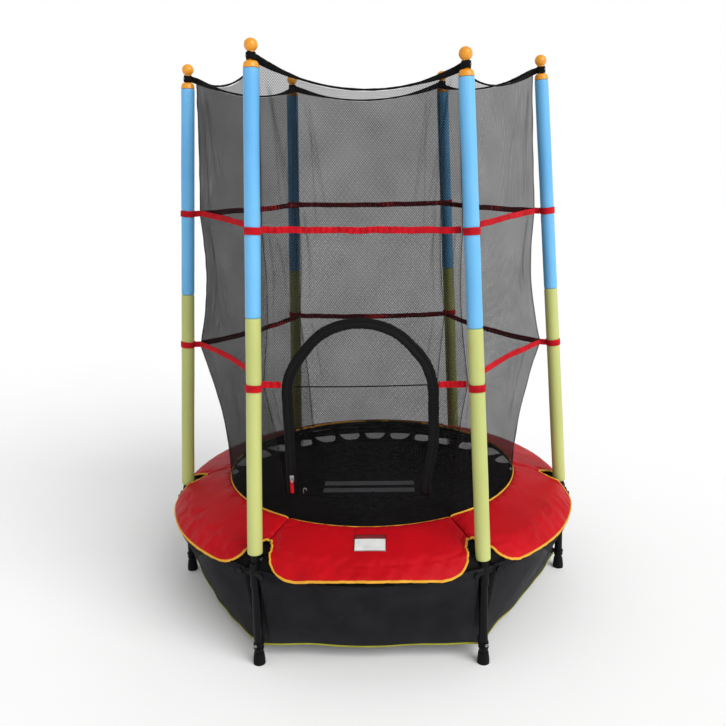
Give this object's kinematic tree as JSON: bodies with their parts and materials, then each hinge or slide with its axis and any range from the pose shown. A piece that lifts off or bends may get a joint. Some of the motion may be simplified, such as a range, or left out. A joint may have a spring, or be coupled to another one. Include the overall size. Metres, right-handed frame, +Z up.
{
  "type": "enclosed trampoline",
  "caption": "Small round trampoline on legs with a padded rim and a hexagonal safety net hung on leaning foam-sleeved poles; the net has a zipped arched door.",
  "frame": {"origin": "on the floor, below the centre of the jumping mat", "axes": "+Z up, along the enclosure's upright axis; the door side faces -Y; a pole stands on the X axis at each end"},
  "size_m": [1.3088, 1.312, 1.7105],
  "materials": {
    "black_steel": "satin",
    "foam_green": "matte",
    "foam_blue": "matte",
    "pad_red": "satin",
    "net_black": "matte",
    "foot_rubber": "matte",
    "cap_orange": "gloss",
    "bolt_black": "satin",
    "mat_black": "matte",
    "elastic_black": "matte",
    "tape_black": "matte",
    "strap_red": "satin",
    "zip_metal": "satin",
    "skirt_black": "matte"
  },
  "bodies": {
    "frame": {"ring_tube_1": "black_steel", "corner_socket_1": "black_steel", "leg_1": "black_steel", "pole_1": "black_steel", "lower_sleeve_1": "foam_green", "upper_sleeve_1": "foam_blue", "pad_panel_1": "pad_red", "net_side_1": "net_black", "ring_tube_2": "black_steel", "corner_socket_2": "black_steel", "leg_2": "black_steel", "pole_2": "black_steel", "lower_sleeve_2": "foam_green", "upper_sleeve_2": "foam_blue", "pad_panel_2": "pad_red", "net_side_2": "net_black", "ring_tube_3": "black_steel", "corner_socket_3": "black_steel", "leg_3": "black_steel", "pole_3": "black_steel", "lower_sleeve_3": "foam_green", "upper_sleeve_3": "foam_blue", "pad_panel_3": "pad_red", "net_side_3": "net_black", "ring_tube_4": "black_steel", "corner_socket_4": "black_steel", "leg_4": "black_steel", "pole_4": "black_steel", "lower_sleeve_4": "foam_green", "upper_sleeve_4": "foam_blue", "pad_panel_4": "pad_red", "net_side_4": "net_black", "ring_tube_5": "black_steel", "corner_socket_5": "black_steel", "leg_5": "black_steel", "pole_5": "black_steel", "lower_sleeve_5": "foam_green", "upper_sleeve_5": "foam_blue", "pad_panel_5": "pad_red", "net_side_5": "net_black", "ring_tube_6": "black_steel", "corner_socket_6": "black_steel", "leg_6": "black_steel", "pole_6": "black_steel", "lower_sleeve_6": "foam_green", "upper_sleeve_6": "foam_blue", "pad_panel_6": "pad_red", "net_side_6": "net_black", "rubber_feet": "foot_rubber", "pole_caps": "cap_orange", "corner_bolts": "bolt_black", "mat_elastics": "elastic_black", "door_zip_tape": "tape_black", "top_hem": "tape_black", "net_straps": "strap_red", "ground_skirt": "skirt_black"},
    "mat": {"jumping_mat": "mat_black"},
    "door": {"door_panel": "net_black"},
    "slider": {"zip_slider": "zip_metal"},
    "pull": {"zip_pull": "strap_red"}
  },
  "joints": [
    {"name": "mat_bounce", "type": "slide", "parent": "frame", "child": "mat", "axis": [0, 0, 1], "range_m": [-0.18, 0.02], "stiffness_N_per_m": 4000, "deforming": ["mat_elastics"]},
    {"name": "door_fold", "type": "hinge", "parent": "frame", "child": "door", "pos_m": [0, -0.4725, 0.4555], "axis": [1, 0, 0], "range_deg": [0, 110]},
    {"name": "zip_run", "type": "slide", "parent": "frame", "child": "slider", "axis": [0, -0.1444, 0.9895], "range_m": [0, 0.26]},
    {"name": "pull_swing", "type": "hinge", "parent": "slider", "child": "pull", "pos_m": [-0.215, -0.45195, 0.50401], "axis": [1, 0, 0], "range_deg": [-160, 0]}
  ]
}
